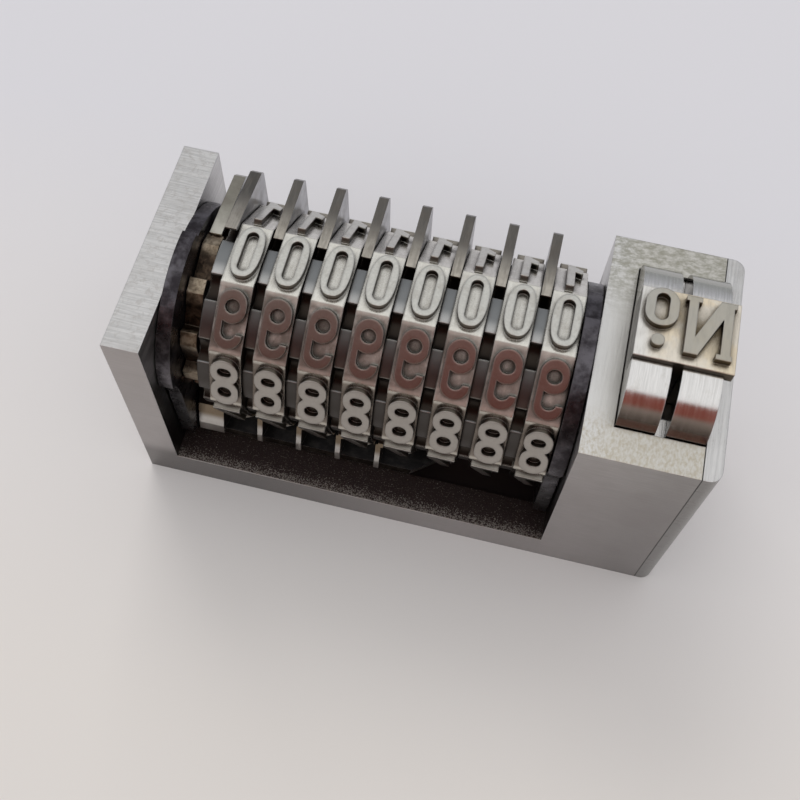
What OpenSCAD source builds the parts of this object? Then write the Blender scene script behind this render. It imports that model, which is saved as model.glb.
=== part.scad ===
// Typographic numbering machine with eight digit wheels and a "No." plunger.
// Millimetres, +Z up. The origin is on the resting face of the base, at the centre of the
// footprint. X runs along the wheel shaft towards the plunger, -Y is the front.

/* [Case] */
// thickness of the left end wall
wall_t = 2.95; // [2.5:0.05:3.4]
// depth of the case from front to back
case_d = 19.4; // [19.2:0.1:20.4]
// height of the two end walls
case_h = 21.65; // [21.3:0.05:22]
// length of the right block that holds the plunger
block_l = 8.85; // [8.7:0.05:9.4]
// thickness of the base between the ribs
floor_t = 1.3; // [1:0.05:1.4]
// height of the front and rear ribs of the base
rib_h = 3.3; // [2.8:0.05:3.35]
// width of the front and rear ribs of the base
rib_t = 3.3; // [2.6:0.05:3.4]
// thickness of the end cover
cover_t = 1.4; // [1.2:0.05:1.8]
// radius of the upright outer corners of the end cover
cover_round = 1; // [0.4:0.05:1.1]

/* [Wheels] */
// height of the wheel shaft above the resting face
shaft_z = 14.45; // [14.4:0.01:14.6]
// diameter of the wheel shaft
shaft_d = 4.5; // [4:0.05:4.6]
// distance from the wheel axis to the flat facets
facet_r = 8.28; // [8.1:0.01:8.3]
// height of the digits above their facets
digit_relief = 0.5; // [0.4:0.01:0.6]
// width of the ten-sided part of a digit wheel
wheel_w = 2.55; // [2.4:0.01:2.7]
// width of the ratchet ring on the left of a digit wheel
ring_w = 0.9; // [0.8:0.01:1]
// radius of the tooth tips of the ratchet rings
ring_tip_r = 8.1; // [7.9:0.02:8.2]
// depth of the teeth of the ratchet rings
ring_tooth = 0.6; // [0.4:0.02:0.8]
// height of a digit
digit_h = 4.6; // [3.9:0.05:4.7]
// width of a digit
digit_w = 2.18; // [1.8:0.02:2.24]
// width of the upright strokes of a digit
stroke = 0.62; // [0.5:0.01:0.66]

/* [Drive ratchet] */
// width of the drive ratchet
ratchet_w = 1.35; // [1.2:0.05:1.7]
// radius of the tooth tips of the drive ratchet
ratchet_tip_r = 6.9; // [6.8:0.05:7.3]
// depth of the teeth of the drive ratchet
ratchet_tooth = 0.95; // [0.7:0.05:1.2]
// thickness of the dark disc beside the drive ratchet
spacer_t = 0.4; // [0.3:0.02:0.6]
// radius of the dark disc beside the drive ratchet
spacer_r = 5.5; // [4:0.1:6]

/* [Swing and feed comb] */
// thickness of the left swing arm
arm_left_t = 1.15; // [0.9:0.05:1.3]
// thickness of the right swing arm
arm_right_t = 1.2; // [0.9:0.05:1.3]
// distance from the shaft to the drive stud
stud_r = 3.77; // [3.7:0.01:3.9]
// diameter of the drive stud
stud_d = 1.4; // [1.2:0.02:1.44]
// diameter of the bar that joins the arms
bar_d = 1.6; // [1.3:0.05:1.7]
// thickness of a narrow finger of the feed comb
finger_t = 0.45; // [0.4:0.01:0.6]
// width of the wide finger of the feed comb
wide_finger_w = 1.75; // [1.4:0.05:1.8]
// thickness of the curved web that joins the fingers
comb_web_t = 0.45; // [0.35:0.01:0.5]

/* [Retaining pawls] */
// thickness of a retaining pawl
pawl_t = 0.79; // [0.6:0.01:0.8]
// diameter of the rod that carries the retaining pawls
rod_d = 1.2; // [1:0.05:1.3]

/* [Plunger] */
// height of the round shoulders of the plunger above the case
plunger_rise = 3.2; // [2.9:0.05:3.3]
// length of the plunger from front to back
plunger_d = 14; // [13.4:0.1:14.4]
// radius of the round front and rear noses of the plunger
nose_r = 3.9; // [3.4:0.05:4]
// width of the slot between the two lobes of each nose
slot_w = 0.75; // [0.7:0.05:1.2]
// thickness of the block wall between wheels and plunger
web_t = 2.2; // [1.8:0.05:2.4]
// height of the top plate of the number sign slug above the case
slug_rise = 3.7; // [3.5:0.05:3.85]
// length of the number sign slug from front to back
slug_d = 5.9; // [5.5:0.05:6]
// overhang of the slug's top plate over the end cover
slug_over = 0.6; // [0.3:0.05:0.8]
// height of the letters on the slug
letter_relief = 0.55; // [0.4:0.05:0.7]
// downward travel of the plunger
stroke_z = 2.58; // [2.4:0.02:2.6]
// outer diameter of the plunger springs
spring_d = 3; // [2.4:0.1:3.2]

/* [Hidden] */

$fn = 64;
eps = 0.01;
run_gap = 0.05;       // axial play between neighbours on the shaft
side_gap = 0.1;       // axial play between arms, ratchet and walls
bore_gap = 0.02;      // radial play of a bore on its shaft
slide_gap = 0.05;     // play of the plunger in its cavity
past = 1;             // length by which a through cut stands out of its solid

wheel_count = 8;
tooth_count = 10;
step = 360 / tooth_count;
wheel_l = ring_w + wheel_w;
pitch = wheel_l + run_gap;

// stack along the shaft, measured from the inner face of the left wall
arm_l_at = side_gap;
ratchet_at = arm_l_at + arm_left_t + side_gap;
spacer_at = ratchet_at + ratchet_w + run_gap;
first_ring_x = 0.15;   // extra width of the outermost ring
wheels_at = spacer_at + spacer_t + run_gap + first_ring_x;
arm_r_at = wheels_at + wheel_count * pitch - run_gap + side_gap;
gap_l = arm_r_at + arm_right_t + 1.5 * side_gap;

total_l = wall_t + gap_l + block_l + cover_t;
left_x = -total_l / 2;
gap_x = left_x + wall_t;
block_x = gap_x + gap_l;
cover_x = block_x + block_l;
front_y = -case_d / 2;
cavity_x = block_x + web_t;
cavity_floor = floor_t + 0.3;
face_r = facet_r + digit_relief;

// plunger
plunger_top = case_h + plunger_rise;
slug_top = case_h + slug_rise;
plunger_x = cavity_x + slide_gap;
plunger_w = cover_x - slide_gap - plunger_x;
plunger_bottom = 7;
plunger_mid_x = plunger_x + plunger_w / 2;
slot_floor = case_h - 2.2;
bridge_z = case_h - 0.35;         // flat ends of the slot
bridge_l = 1.6;
slug_seat = case_h + 1.25;
plate_z = case_h + stroke_z + 0.15;
spring_y = plunger_d * 0.3;
pocket_d = spring_d + 0.4;
pocket_top = 13;

// swing
swing_angle = 2 * asin(stroke_z / 2 / stud_r);
stud_y = -stud_r * cos(swing_angle / 2);
stud_z = shaft_z + stud_r * sin(swing_angle / 2);
bar_clear = 1.95;     // height of the bar's axis above the floor at its lowest
bar_r = shaft_z - floor_t - bar_clear;
bar_a = -85;
bar_y = -bar_r * cos(bar_a);
bar_z = shaft_z + bar_r * sin(bar_a);

// retaining pawl rod
rod_y = case_d / 2 - 1.4;
rod_z = shaft_z - 5.1;
pawl_boss_r = 1.15;
pawl_clear = 0.07;    // play between a pawl nose and the tooth tips
pawl_rise = 8.05;     // height of a wheel's pawl above the shaft
pawl_back = 0.26;     // reach of a wheel's pawl behind the rod
drive_rise = 6.75;    // height of the drive pawl above the shaft
drive_back = 0.8;     // reach of the drive pawl behind the rod
nose_lean = 0.5;      // overhang of a pawl nose over the tooth in front of it

// colours
steel_c = [0.74, 0.74, 0.72];
wheel_c = [0.66, 0.64, 0.6];
black_c = [0.12, 0.12, 0.125];
brown_c = [0.36, 0.3, 0.24];
pawl_c = [0.5, 0.49, 0.47];
bright_c = [0.82, 0.82, 0.8];

// ---------- helpers ----------

// a profile drawn in (Y, Z), extruded along +X from x
module along_x(x, w) {
    translate([x, 0, 0]) rotate([90, 0, 90]) linear_extrude(w) children();
}

// a profile drawn in (Y, Z) around the shaft, extruded along +X from x
module around_shaft(x, w) {
    translate([x, 0, shaft_z]) rotate([90, 0, 90]) linear_extrude(w) children();
}

module rod_x(x, l, y, z, r) {
    translate([x, y, z]) rotate([0, 90, 0]) cylinder(r = r, h = l);
}

// point at radius r and angle a, measured upwards from the front
function polar(r, a) = [-r * cos(a), r * sin(a)];

// a bar whose two short ends are round
module stadium(w, h) {
    d = min(w, h);
    square(w > h ? [w - d, h] : [w, h - d], center = true);
    for (end = [-1, 1]) translate(end * [w - d, h - d] / 2) circle(d = d);
}

module oval_ring(w, h, hole_w, hole_h) {
    difference() {
        stadium(w, h);
        stadium(hole_w, hole_h);
    }
}

// ---------- digits, drawn to be read normally ----------

counter_w = digit_w - 1.7 * stroke;
bar_h = 1.25 * stroke;
low_c = -digit_h * 0.215;     // middle of the lower bowl
top_c = digit_h * 0.235;      // middle of the upper bowl
low_h = digit_h * 0.57;
top_h = digit_h * 0.53;

module bowl(at_v, h) {
    translate([0, at_v]) oval_ring(digit_w, h, counter_w, h - 2 * bar_h);
}

module half_plane_u(sign) {
    translate([sign * digit_w, 0]) square([2 * digit_w, 2 * digit_h], center = true);
}

// an oval a little fuller than an ellipse
module oval(w, h) {
    power = 2 / 2.5;
    points = 48;
    polygon([
        for (k = [0 : points - 1])
            let (c = cos(360 * (k + 0.5) / points), s = sin(360 * (k + 0.5) / points))
            [sign(c) * w / 2 * pow(abs(c), power), sign(s) * h / 2 * pow(abs(s), power)]
    ]);
}

module digit_0() {
    difference() {
        oval(digit_w, digit_h);
        stadium(digit_w - 2 * stroke, digit_h * 0.78);
    }
}

module digit_1() {
    translate([digit_w * 0.1, 0]) {
        square([stroke, digit_h], center = true);
        polygon([
            [0, digit_h / 2], [0, digit_h / 2 - bar_h * 1.5],
            [-stroke * 1.5, digit_h / 2 - bar_h * 2], [-stroke * 1.5, digit_h / 2 - bar_h]
        ]);
    }
}

module digit_2() {
    difference() {
        bowl(top_c, top_h);
        translate([-digit_w, -digit_h]) square([digit_w * 1.02, digit_h + top_c]);
    }
    polygon([
        [digit_w / 2, top_c], [counter_w / 2, top_c],
        [-digit_w / 2, -digit_h / 2 + bar_h], [-digit_w / 2, -digit_h / 2],
        [digit_w / 2, -digit_h / 2], [digit_w / 2, -digit_h / 2 + bar_h],
        [-digit_w / 2 + stroke * 1.3, -digit_h / 2 + bar_h]
    ]);
}

module digit_3() {
    difference() {
        union() {
            bowl(top_c, top_h);
            bowl(low_c, low_h);
        }
        translate([-digit_w, low_c + bar_h * 0.4]) square([digit_w, top_c - low_c - bar_h * 0.8]);
    }
}

module digit_4() {
    difference() {
        polygon([
            [digit_w * 0.3, digit_h / 2], [digit_w * 0.3 - stroke, digit_h / 2],
            [-digit_w / 2, -digit_h * 0.16], [-digit_w / 2, -digit_h * 0.3],
            [digit_w * 0.3, -digit_h * 0.3]
        ]);
        polygon([
            [digit_w * 0.3 - stroke, digit_h * 0.24], [digit_w * 0.3 - stroke, -digit_h * 0.16],
            [-digit_w * 0.3, -digit_h * 0.16]
        ]);
    }
    translate([digit_w * 0.3 - stroke, -digit_h / 2]) square([stroke, digit_h]);
    translate([-digit_w / 2, -digit_h * 0.3]) square([digit_w, bar_h]);
}

module digit_5() {
    difference() {
        bowl(low_c, low_h);
        translate([-digit_w, low_c - bar_h * 0.2]) square([digit_w, low_h * 0.28]);
    }
    translate([-digit_w / 2, low_c + low_h * 0.2]) square([stroke, digit_h / 2 - low_c - low_h * 0.2]);
    translate([-digit_w / 2, digit_h / 2 - bar_h]) square([digit_w * 0.95, bar_h]);
}

module digit_6() {
    bowl(low_c, low_h);
    difference() {
        oval_ring(digit_w, digit_h, counter_w, digit_h - 2 * bar_h);
        translate([0, -digit_h]) square([digit_w, digit_h + top_c]);
    }
}

module digit_7() {
    translate([-digit_w / 2, digit_h / 2 - bar_h]) square([digit_w, bar_h]);
    polygon([
        [digit_w / 2, digit_h / 2], [digit_w / 2, digit_h / 2 - bar_h * 1.2],
        [0, -digit_h / 2], [-stroke * 1.1, -digit_h / 2], [digit_w / 2 - stroke * 1.2, digit_h / 2 - bar_h]
    ]);
}

module digit_8() {
    bowl(top_c, top_h);
    bowl(low_c, low_h);
}

module digit_9() {
    rotate(180) digit_6();
}

module digit(d) {
    if (d == 0) digit_0();
    if (d == 1) digit_1();
    if (d == 2) digit_2();
    if (d == 3) digit_3();
    if (d == 4) digit_4();
    if (d == 5) digit_5();
    if (d == 6) digit_6();
    if (d == 7) digit_7();
    if (d == 8) digit_8();
    if (d == 9) digit_9();
}

// ---------- wheels ----------

digit_side = 0.08;    // sideways place of the digits on their facets
land_a = 21;          // angle taken by the top of a ring's tooth
land_rear_a = 97;     // rear edge of the top tooth of a ring
nose_a = 109;         // angle at which the noses of the wheels' pawls stand
drive_land_a = 10;    // angle taken by the top of a tooth of the drive ratchet
drive_rear_a = 109.5; // rear edge of the top tooth of the drive ratchet
drive_nose_a = 111.5; // angle at which the nose of the drive pawl stands

// ten broad teeth with hollowed spaces between them
module hollow_teeth(tip_r, tooth, rear_a, land) {
    space_a = step - land;
    chord = tip_r * sin(space_a / 2);
    rise = tooth - tip_r * (1 - cos(space_a / 2));
    cut_r = (chord * chord + rise * rise) / (2 * rise);
    difference() {
        circle(r = tip_r);
        for (k = [0 : tooth_count - 1])
            translate(polar(tip_r - tooth + cut_r, rear_a + space_a / 2 + step * k)) circle(r = cut_r);
    }
}

// ten saw teeth; the steep faces look backwards on top of the wheel
module saw_teeth(tip_r, tooth, drop_a, land) {
    root_r = tip_r - tooth;
    polygon([
        for (k = [0 : tooth_count - 1])
            each [
                polar(tip_r, drop_a + step * (k + 1) - land),
                polar(tip_r, drop_a + step * (k + 1)),
                polar(root_r, drop_a + step * (k + 1) + 2)
            ]
    ]);
}

module digit_wheel(n) {
    x = gap_x + wheels_at + (n - 1) * pitch;
    extra = n == 1 ? first_ring_x : 0;
    color(wheel_c) difference() {
        union() {
            around_shaft(x - extra, ring_w + extra + eps)
                hollow_teeth(ring_tip_r, ring_tooth, land_rear_a, land_a);
            around_shaft(x + ring_w, wheel_w) polygon([
                for (k = [0 : tooth_count - 1]) polar(facet_r / cos(step / 2), step * k)
            ]);
            for (d = [0 : tooth_count - 1])
                translate([x + ring_w + wheel_w / 2 + digit_side, 0, shaft_z]) rotate([-step * d, 0, 0])
                    translate([0, 0, facet_r - 0.2]) linear_extrude(digit_relief + 0.2)
                        mirror([1, 0, 0]) digit(d);
        }
        rod_x(x - past, wheel_l + 2 * past, 0, shaft_z, shaft_d / 2 + bore_gap);
    }
}

module digit_wheel_1() { digit_wheel(1); }
module digit_wheel_2() { digit_wheel(2); }
module digit_wheel_3() { digit_wheel(3); }
module digit_wheel_4() { digit_wheel(4); }
module digit_wheel_5() { digit_wheel(5); }
module digit_wheel_6() { digit_wheel(6); }
module digit_wheel_7() { digit_wheel(7); }
module digit_wheel_8() { digit_wheel(8); }

module drive_ratchet() {
    x = gap_x + ratchet_at;
    color(brown_c) difference() {
        around_shaft(x, ratchet_w) saw_teeth(ratchet_tip_r, ratchet_tooth, drive_rear_a, drive_land_a);
        rod_x(x - past, ratchet_w + 2 * past, 0, shaft_z, shaft_d / 2 + bore_gap);
    }
}

module spacer_disc() {
    x = gap_x + spacer_at;
    color(black_c) difference() {
        rod_x(x, spacer_t, 0, shaft_z, spacer_r);
        rod_x(x - past, spacer_t + 2 * past, 0, shaft_z, shaft_d / 2 + bore_gap);
    }
}

// ---------- case ----------

// curved slot for the drive stud in the block wall
module stud_slot() {
    r = stud_d / 2 + 0.1;
    end_a = swing_angle / 2 + 0.5 + asin(r / stud_r);
    intersection() {
        difference() {
            circle(r = stud_r + r);
            circle(r = stud_r - r);
        }
        polygon([[0, 0], 3 * polar(stud_r, end_a), 3 * polar(stud_r, -end_a)]);
    }
}

screw_y = plunger_d / 2 + slide_gap + 0.95;
screw_z = case_h / 2;
screw_r = 0.55;
screw_head_r = 0.85;

module case() {
    color(steel_c) difference() {
        union() {
            translate([left_x, front_y, 0]) cube([wall_t, case_d, case_h]);
            translate([left_x, front_y, 0]) cube([cover_x - left_x, case_d, floor_t]);
            translate([left_x, front_y, 0]) cube([cover_x - left_x, rib_t, rib_h]);
            translate([left_x, -front_y - rib_t, 0]) cube([cover_x - left_x, rib_t, rib_h]);
            translate([block_x, front_y, 0]) cube([block_l, case_d, case_h]);
        }
        translate([cavity_x, -plunger_d / 2 - slide_gap, cavity_floor])
            cube([block_l, plunger_d + 2 * slide_gap, case_h]);
        rod_x(left_x - 1, total_l, 0, shaft_z, shaft_d / 2 + bore_gap);
        rod_x(left_x - 1, total_l, rod_y, rod_z, rod_d / 2 + bore_gap);
        around_shaft(block_x - 1, web_t + 2) stud_slot();
        for (side = [-1, 1])
            rod_x(cover_x - 5, 6, side * screw_y, screw_z, screw_r + bore_gap);
    }
}

module cover_outline() {
    difference() {
        translate([cover_x, front_y]) square([cover_t, case_d]);
        for (side = [-1, 1])
            translate([cover_x + cover_t, side * case_d / 2]) square(2 * cover_round, center = true);
    }
    intersection() {
        translate([cover_x, front_y]) square([cover_t, case_d]);
        for (side = [-1, 1])
            translate([cover_x + cover_t - cover_round, side * (case_d / 2 - cover_round)])
                circle(r = cover_round);
    }
}

module end_cover() {
    color(steel_c) difference() {
        linear_extrude(case_h) cover_outline();
        for (side = [-1, 1]) {
            rod_x(cover_x - 1, 6, side * screw_y, screw_z, screw_r + bore_gap);
            rod_x(cover_x + cover_t - 0.6, 2, side * screw_y, screw_z, screw_head_r + bore_gap);
        }
    }
}

module cover_screw(side) {
    y = side * screw_y;
    difference() {
        union() {
            rod_x(cover_x - 4, cover_t + 3.5, y, screw_z, screw_r);
            rod_x(cover_x + cover_t - 0.58, 0.53, y, screw_z, screw_head_r);
        }
        translate([cover_x + cover_t - 0.25, y - 0.15, screw_z - 2]) cube([1, 0.3, 4]);
    }
}

module cover_screws() {
    color(bright_c) for (side = [-1, 1]) cover_screw(side);
}

module wheel_shaft() {
    color(bright_c) difference() {
        rod_x(left_x + 0.1, cavity_x - left_x - 0.2, 0, shaft_z, shaft_d / 2);
        translate([left_x - 1, -0.3, shaft_z - shaft_d]) cube([1.7, 0.6, 2 * shaft_d]);
    }
}

module pawl_rod() {
    color(bright_c) rod_x(left_x + 0.1, cavity_x - left_x - 0.2, rod_y, rod_z, rod_d / 2);
}

// ---------- swing ----------

arm_r = 8.1;          // round part of a swing arm

// round around the shaft, with a wider shoulder at the front and a leg down to the bar
module arm_outline() {
    circle(r = arm_r);
    intersection() {
        translate(arm_r * [-0.056, 0.031]) circle(r = 1.025 * arm_r);
        polygon(arm_r * [[0.1, 0], [0.1, 1.3], [-1.3, 1.3], [-1.3, 0.12], [-0.9, 0]]);
    }
    polygon(arm_r * [
        [-1.07, 0.15], [-1, -0.08], [-0.975, -0.22], [-0.963, -1.136], [-0.642, -1.383],
        [-0.321, -1.494], [0, -1.531], [0.062, -1.259], [0.42, -0.889]
    ]);
}

module swing_arm(x, t) {
    difference() {
        around_shaft(x, t) arm_outline();
        rod_x(x - past, t + 2 * past, 0, shaft_z, shaft_d / 2 + bore_gap);
        rod_x(x - past, t + 2 * past, bar_y, bar_z, bar_d / 2 + bore_gap);
    }
}

module swing_arm_left() {
    color(black_c) swing_arm(gap_x + arm_l_at, arm_left_t);
}

module swing_arm_right() {
    x = gap_x + arm_r_at;
    color(black_c) difference() {
        swing_arm(x, arm_right_t);
        rod_x(x - past, arm_right_t + 2 * past, stud_y, stud_z, stud_d / 2 + bore_gap);
    }
}

module swing_bar() {
    x = gap_x + arm_l_at;
    color(pawl_c) rod_x(x, gap_x + arm_r_at + arm_right_t - x, bar_y, bar_z, bar_d / 2);
}

module drive_stud() {
    x = gap_x + arm_r_at;
    color(bright_c) rod_x(x, plunger_x + 0.85 - x, stud_y, stud_z, stud_d / 2);
}

// ---------- feed comb ----------

comb_boss_r = 1.35;
web_out_r = bar_r + 0.9;
web_in_r = web_out_r - comb_web_t;
heel_r = web_out_r + 0.1;         // reach of the fingers below the web
lip_a = -55;          // front lip of the web
web_rear_a = -80;
finger_jog = 0.2;     // step of the fingers to the left, outside the wheels
jog_r = face_r + 0.55;

// finger in (Y, Z) around the shaft, with its nose just outside a ratchet of radius tip_r
module finger_outline(tip_r) {
    polygon([
        polar(tip_r + pawl_clear, -49), polar(0.82 * bar_r, -48.5), polar(web_in_r - 0.3, lip_a + 2),
        polar(heel_r, lip_a), polar(heel_r, -65), polar(heel_r, -75), polar(heel_r, bar_a),
        polar(bar_r - 1.3, bar_a), polar(bar_r - 1.3, -72), polar(0.84 * bar_r, -62),
        polar(tip_r + pawl_clear + 0.05, -57)
    ]);
    translate(polar(bar_r, bar_a)) circle(r = comb_boss_r);
}

// the finger runs at x next to its ratchet and at x_out outside the wheels
module finger(x, w, x_out, w_out, tip_r) {
    difference() {
        union() {
            intersection() {
                around_shaft(x, w) finger_outline(tip_r);
                around_shaft(x - past, w + 2 * past) circle(r = jog_r + 0.3);
            }
            difference() {
                around_shaft(x_out, w_out) finger_outline(tip_r);
                around_shaft(x_out - past, w_out + 2 * past) circle(r = jog_r);
            }
        }
        rod_x(x_out - past, w_out + 2 * past, bar_y, bar_z, bar_d / 2 + bore_gap);
    }
}

// curved sheet around the wheels, with its lower right end cut at a slant
module comb_web(x0, x1) {
    intersection() {
        around_shaft(x0, x1 - x0) intersection() {
            difference() {
                circle(r = web_out_r);
                circle(r = web_in_r);
            }
            polygon([[0, 0], 2 * polar(web_out_r, lip_a), 2 * polar(web_out_r, web_rear_a)]);
        }
        translate([x1, 0, -past]) linear_extrude(shaft_z)
            polygon([[x0 - x1 - past, -case_d], [-4, -case_d], [-4, -6.9], [0, -2.6], [0, 0], [x0 - x1 - past, 0]]);
    }
}

function finger_x(n) = gap_x + wheels_at + (n - 1) * pitch + (ring_w - run_gap - finger_t) / 2 - 0.15;

module feed_comb() {
    last = 5;
    x0 = gap_x + ratchet_at + side_gap / 2;
    color(pawl_c) {
        finger(x0, wide_finger_w, x0, wide_finger_w + 0.5, ratchet_tip_r);
        for (n = [2 : last])
            finger(finger_x(n), finger_t, finger_x(n) - finger_jog, finger_t, ring_tip_r);
        comb_web(x0 + 0.1, finger_x(last) + 2 * pitch);
    }
}

// ---------- retaining pawls ----------

// a pawl whose nose stands at angle at_a, just outside the teeth
module pawl(x, t, tip_r, at_a, front_top, rear_top, lean, back) {
    inner_r = tip_r + pawl_clear;
    nose = polar(inner_r, at_a);
    rear = rod_y + back;
    color(pawl_c) difference() {
        union() {
            along_x(x, t) difference() {
                polygon([
                    [nose.x, shaft_z + nose.y - 1], [nose.x, shaft_z + nose.y + 0.08],
                    [nose.x - lean, shaft_z + front_top - 0.2], [nose.x - lean, shaft_z + front_top],
                    [rear - 0.5, shaft_z + rear_top], [rear, shaft_z + rear_top - 0.5],
                    [rod_y + 0.7 * pawl_boss_r, rod_z], [rod_y - 0.7 * pawl_boss_r, rod_z],
                    [nose.x, shaft_z]
                ]);
                translate([0, shaft_z]) circle(r = inner_r);
            }
            rod_x(x, t, rod_y, rod_z, pawl_boss_r);
        }
        rod_x(x - past, t + 2 * past, rod_y, rod_z, rod_d / 2 + bore_gap);
    }
}

// the first pawl is wider and stands higher at its nose
module retaining_pawl(n) {
    first = n == 1;
    extra = first ? first_ring_x : 0;
    x = gap_x + wheels_at + (n - 1) * pitch + (ring_w - pawl_t) / 2 - run_gap / 2 - extra;
    front_top = first ? pawl_rise + 0.85 : pawl_rise;
    rear_top = first ? pawl_rise - 0.2 : pawl_rise - 0.1;
    lean = first ? 2 * nose_lean : nose_lean;
    pawl(x, pawl_t + extra, ring_tip_r, nose_a, front_top, rear_top, lean, pawl_back);
}

module retaining_pawl_1() { retaining_pawl(1); }
module retaining_pawl_2() { retaining_pawl(2); }
module retaining_pawl_3() { retaining_pawl(3); }
module retaining_pawl_4() { retaining_pawl(4); }
module retaining_pawl_5() { retaining_pawl(5); }
module retaining_pawl_6() { retaining_pawl(6); }
module retaining_pawl_7() { retaining_pawl(7); }
module retaining_pawl_8() { retaining_pawl(8); }

module retaining_pawl_drive() {
    t = pawl_t + 0.2;
    x = gap_x + ratchet_at + (ratchet_w - t) / 2;
    pawl(x, t, ratchet_tip_r, drive_nose_a, drive_rise, drive_rise - 0.55, nose_lean / 2, drive_back);
}

// ---------- plunger ----------

// the plunger profile in (Y, Z), with a quarter-round nose at the front and at the rear
module plunger_outline() {
    half = plunger_d / 2;
    flat = half - nose_r;
    translate([-half, plunger_bottom]) square([plunger_d, plunger_top - nose_r - plunger_bottom]);
    translate([-flat, plunger_bottom]) square([2 * flat, plunger_top - plunger_bottom]);
    for (side = [-1, 1]) translate([side * flat, plunger_top - nose_r]) circle(r = nose_r);
}

module plunger() {
    color(bright_c) difference() {
        along_x(plunger_x, plunger_w) plunger_outline();
        translate([plunger_mid_x - slot_w / 2, -plunger_d, bridge_z])
            cube([slot_w, 2 * plunger_d, plunger_top]);
        translate([plunger_mid_x - slot_w / 2, bridge_l - plunger_d / 2, slot_floor])
            cube([slot_w, plunger_d - 2 * bridge_l, plunger_top]);
        translate([plunger_x - 1, -slug_d / 2 - 0.02, slug_seat])
            cube([plunger_w + 2, slug_d + 0.04, plunger_top]);
        translate([plunger_x - 1, -stud_r - stud_d / 2 - 0.2, stud_z - stud_d / 2 - 0.05])
            cube([2, stud_r + stud_y + stud_d + 0.4, stud_d + 0.1]);
        for (side = [-1, 1])
            translate([plunger_mid_x, side * spring_y, plunger_bottom - 1])
                cylinder(d = pocket_d, h = pocket_top - plunger_bottom + 1);
    }
}

letter_h = 4.8;

module capital_n() {
    w = 3.25;
    s = 0.68;
    square([s, letter_h]);
    translate([w - s, 0]) square([s, letter_h]);
    polygon([[0, letter_h], [s * 1.45, letter_h], [w, 0], [w - s * 1.45, 0]]);
    translate([-0.2, letter_h - 0.4]) square([s + 0.2, 0.4]);
    translate([-0.15, 0]) square([s + 0.45, 0.4]);
    translate([w - s - 0.25, letter_h - 0.4]) square([s + 0.45, 0.4]);
}

module sign_outline() {
    translate([-3, 0.1 - letter_h / 2]) capital_n();
    translate([2.1, 1.1]) oval_ring(2.4, 3.2, 1, 2.3);
    translate([2.1, -1.7]) circle(d = 0.95);
}

module number_sign() {
    plate_x = plunger_x - 0.05;
    plate_l = plunger_w + 0.05 + slug_over;
    color(bright_c) {
        translate([plunger_x, -slug_d / 2, slug_seat]) cube([plunger_w, slug_d, slug_top - slug_seat]);
        translate([plate_x, -slug_d / 2, plate_z]) cube([plate_l, slug_d, slug_top - plate_z]);
        translate([plunger_mid_x - slot_w / 2 + 0.02, -slug_d / 2, slot_floor + 0.1])
            cube([slot_w - 0.04, slug_d, slug_seat - slot_floor]);
        translate([plate_x + plate_l / 2, 0, slug_top - 0.1]) linear_extrude(letter_relief + 0.1)
            mirror([1, 0, 0]) sign_outline();
    }
}

// ---------- springs ----------

coil_turns = 6;
coil_steps = 16;
coil_sides = 6;

function coil_point(k, j, r, wire_r, rise) =
    let (a = 360 * k / coil_steps, b = 360 * j / coil_sides, q = r + wire_r * cos(b))
    [q * cos(a), q * sin(a), rise * k + wire_r * sin(b)];

module coil(r, wire_r, h) {
    last = coil_turns * coil_steps;
    rise = (h - 2 * wire_r) / last;
    translate([0, 0, wire_r]) polyhedron(
        points = [for (k = [0 : last], j = [0 : coil_sides - 1]) coil_point(k, j, r, wire_r, rise)],
        faces = concat(
            [[for (j = [0 : coil_sides - 1]) j]],
            [for (k = [0 : last - 1], j = [0 : coil_sides - 1])
                let (a = k * coil_sides + j, b = k * coil_sides + (j + 1) % coil_sides)
                [a, a + coil_sides, b + coil_sides, b]],
            [[for (j = [coil_sides - 1 : -1 : 0]) last * coil_sides + j]]
        )
    );
}

module plunger_spring(side) {
    wire_r = 0.2;
    color(bright_c) translate([plunger_mid_x, side * spring_y, cavity_floor])
        coil(spring_d / 2 - wire_r, wire_r, pocket_top - cavity_floor);
}

module plunger_spring_front() { plunger_spring(-1); }
module plunger_spring_rear() { plunger_spring(1); }

case();
end_cover();
cover_screws();
wheel_shaft();
pawl_rod();
swing_arm_left();
swing_arm_right();
swing_bar();
drive_stud();
feed_comb();
drive_ratchet();
spacer_disc();
digit_wheel_1();
digit_wheel_2();
digit_wheel_3();
digit_wheel_4();
digit_wheel_5();
digit_wheel_6();
digit_wheel_7();
digit_wheel_8();
retaining_pawl_drive();
retaining_pawl_1();
retaining_pawl_2();
retaining_pawl_3();
retaining_pawl_4();
retaining_pawl_5();
retaining_pawl_6();
retaining_pawl_7();
retaining_pawl_8();
plunger();
number_sign();
plunger_spring_front();
plunger_spring_rear();
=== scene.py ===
"""Looks of a typographic numbering machine: materials, stage, light and camera."""

import math

import bpy
from mathutils import Matrix, Vector

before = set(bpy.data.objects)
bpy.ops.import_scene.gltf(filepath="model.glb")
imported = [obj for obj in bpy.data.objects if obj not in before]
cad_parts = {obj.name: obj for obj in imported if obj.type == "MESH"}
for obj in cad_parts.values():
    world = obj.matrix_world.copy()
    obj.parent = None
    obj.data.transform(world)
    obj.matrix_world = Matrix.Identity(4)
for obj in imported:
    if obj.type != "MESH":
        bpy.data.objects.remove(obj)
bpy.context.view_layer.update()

# ---------- sizes in millimetres, in the part's frame ----------

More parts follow.
